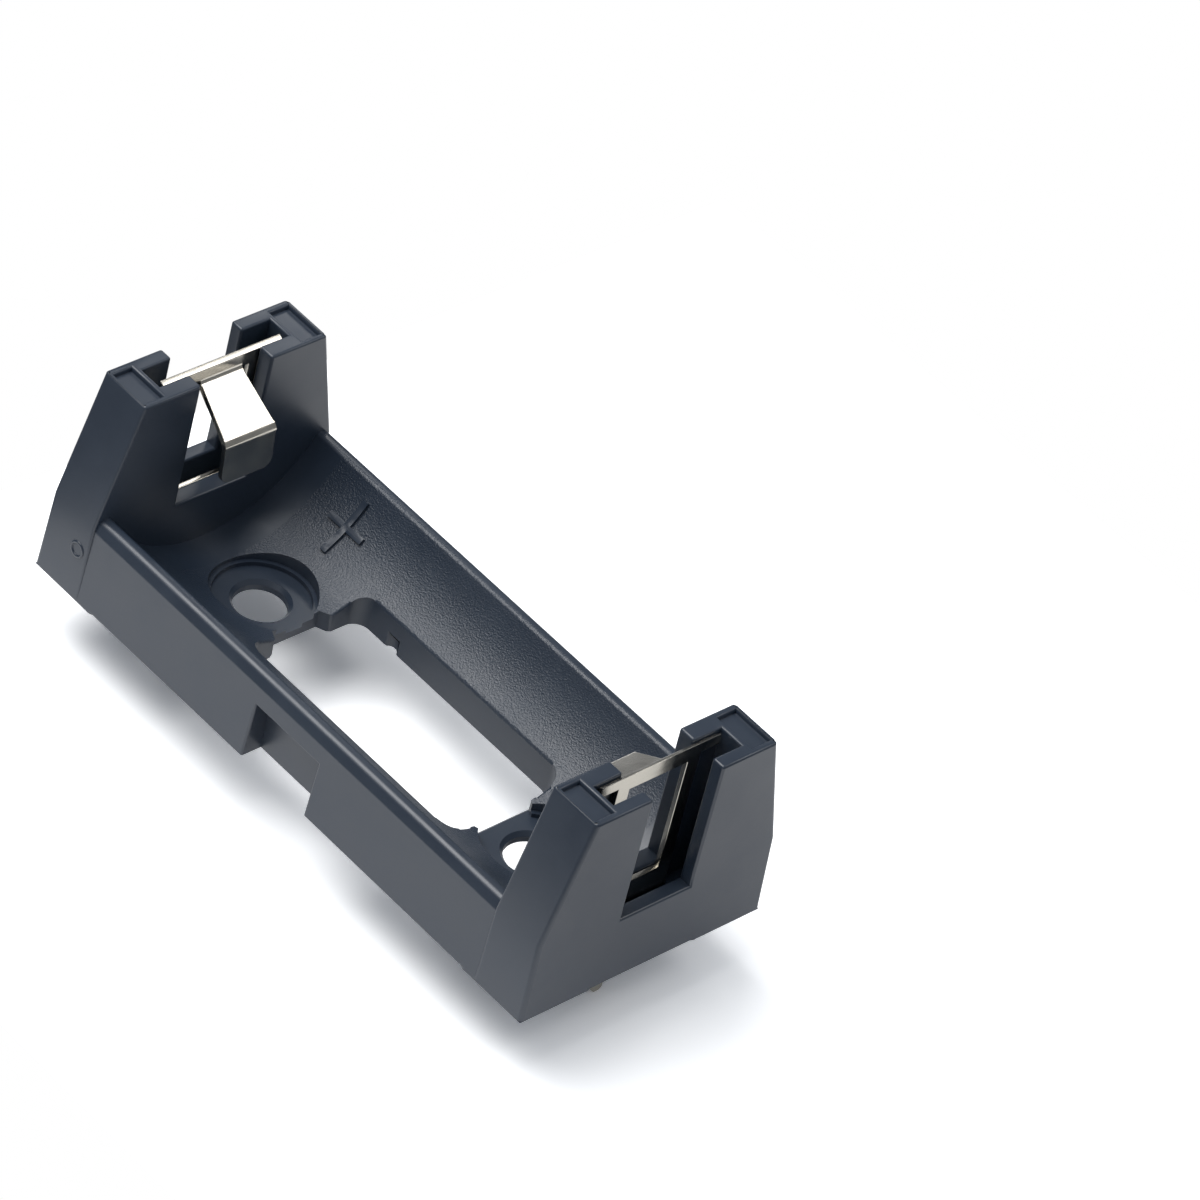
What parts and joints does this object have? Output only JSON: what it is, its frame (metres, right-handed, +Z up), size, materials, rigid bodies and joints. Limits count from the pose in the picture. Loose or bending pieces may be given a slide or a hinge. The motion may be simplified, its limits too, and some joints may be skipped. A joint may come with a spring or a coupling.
{
  "type": "pcb battery holder",
  "caption": "Black moulded cradle for a short cylindrical cell, with slotted end towers, folded spring contacts, solder pins, screw seats and a push-out window.",
  "frame": {"origin": "centre of the seating plane, midway between the two screw holes, at the level of the feet and rings that rest on the board", "axes": "+X along the holder towards the end with the locating peg, which takes the positive end of the cell, +Y across it, +Z up from the board"},
  "size_m": [0.046, 0.0194, 0.0191],
  "materials": {
    "housing": "black moulded nylon, satin outside and spark textured in the cradle",
    "contact": "bright nickel plate on spring sheet"
  },
  "bodies": {
    "root": {"housing": "housing", "contact_positive": "contact", "contact_negative": "contact"}
  },
  "joints": []
}
